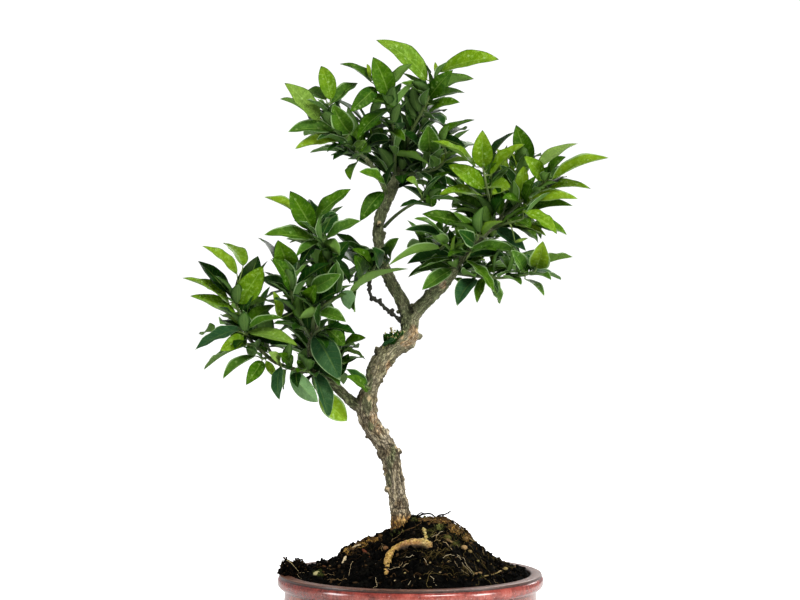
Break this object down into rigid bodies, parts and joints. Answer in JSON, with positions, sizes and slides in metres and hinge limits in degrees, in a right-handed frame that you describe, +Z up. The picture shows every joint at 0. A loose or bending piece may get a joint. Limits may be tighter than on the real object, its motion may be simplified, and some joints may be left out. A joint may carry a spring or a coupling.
{
  "type": "potted bonsai tree",
  "caption": "Small orange-tree bonsai with a curved trunk and layered pads of pointed leaves, in a mound of dark soil in a round glazed pot.",
  "frame": {"origin": "centre of the box of the whole tree, on the surface the pot stands on", "axes": "+Z up, +Y away from the viewer of the tree's front, +X to the right of that front"},
  "size_m": [0.3008, 0.1916, 0.4539],
  "materials": {
    "glaze": "glossy",
    "net": "matte",
    "soil": "rough",
    "bark": "rough",
    "leaf": "satin"
  },
  "bodies": {
    "root": {"pot": "glaze", "drainage_net": "net", "soil": "soil", "wood": "bark", "spray_apex": "leaf", "spray_crown": "leaf", "spray_west": "leaf", "spray_notch": "leaf", "spray_shoulder": "leaf", "spray_elbow": "leaf", "spray_fork": "leaf", "spray_nub": "leaf", "spray_lap": "leaf", "spray_lapel": "leaf", "spray_middle": "leaf", "spray_knee": "leaf", "spray_hem": "leaf", "spray_hand": "leaf", "spray_wrist": "leaf", "spray_thumb": "leaf", "spray_heel": "leaf", "spray_cuff": "leaf", "spray_fanInner": "leaf", "spray_fanOuter": "leaf", "spray_fanTop": "leaf", "spray_inner": "leaf", "spray_bridge": "leaf", "spray_palm": "leaf", "spray_saddle": "leaf", "spray_hinge": "leaf", "spray_skirt": "leaf", "spray_tail": "leaf", "spray_backApex": "leaf", "spray_backCrown": "leaf", "spray_backWest": "leaf", "spray_backInner": "leaf", "spray_backFan": "leaf", "spray_backOuter": "leaf", "spray_backRiser": "leaf", "spray_backRight": "leaf", "spray_backTail": "leaf", "spray_backPalm": "leaf", "spray_backFork": "leaf", "spray_backShoulder": "leaf", "spray_backElbow": "leaf", "spray_backHem": "leaf", "spray_backHand": "leaf", "spray_backKnee": "leaf"}
  },
  "joints": []
}
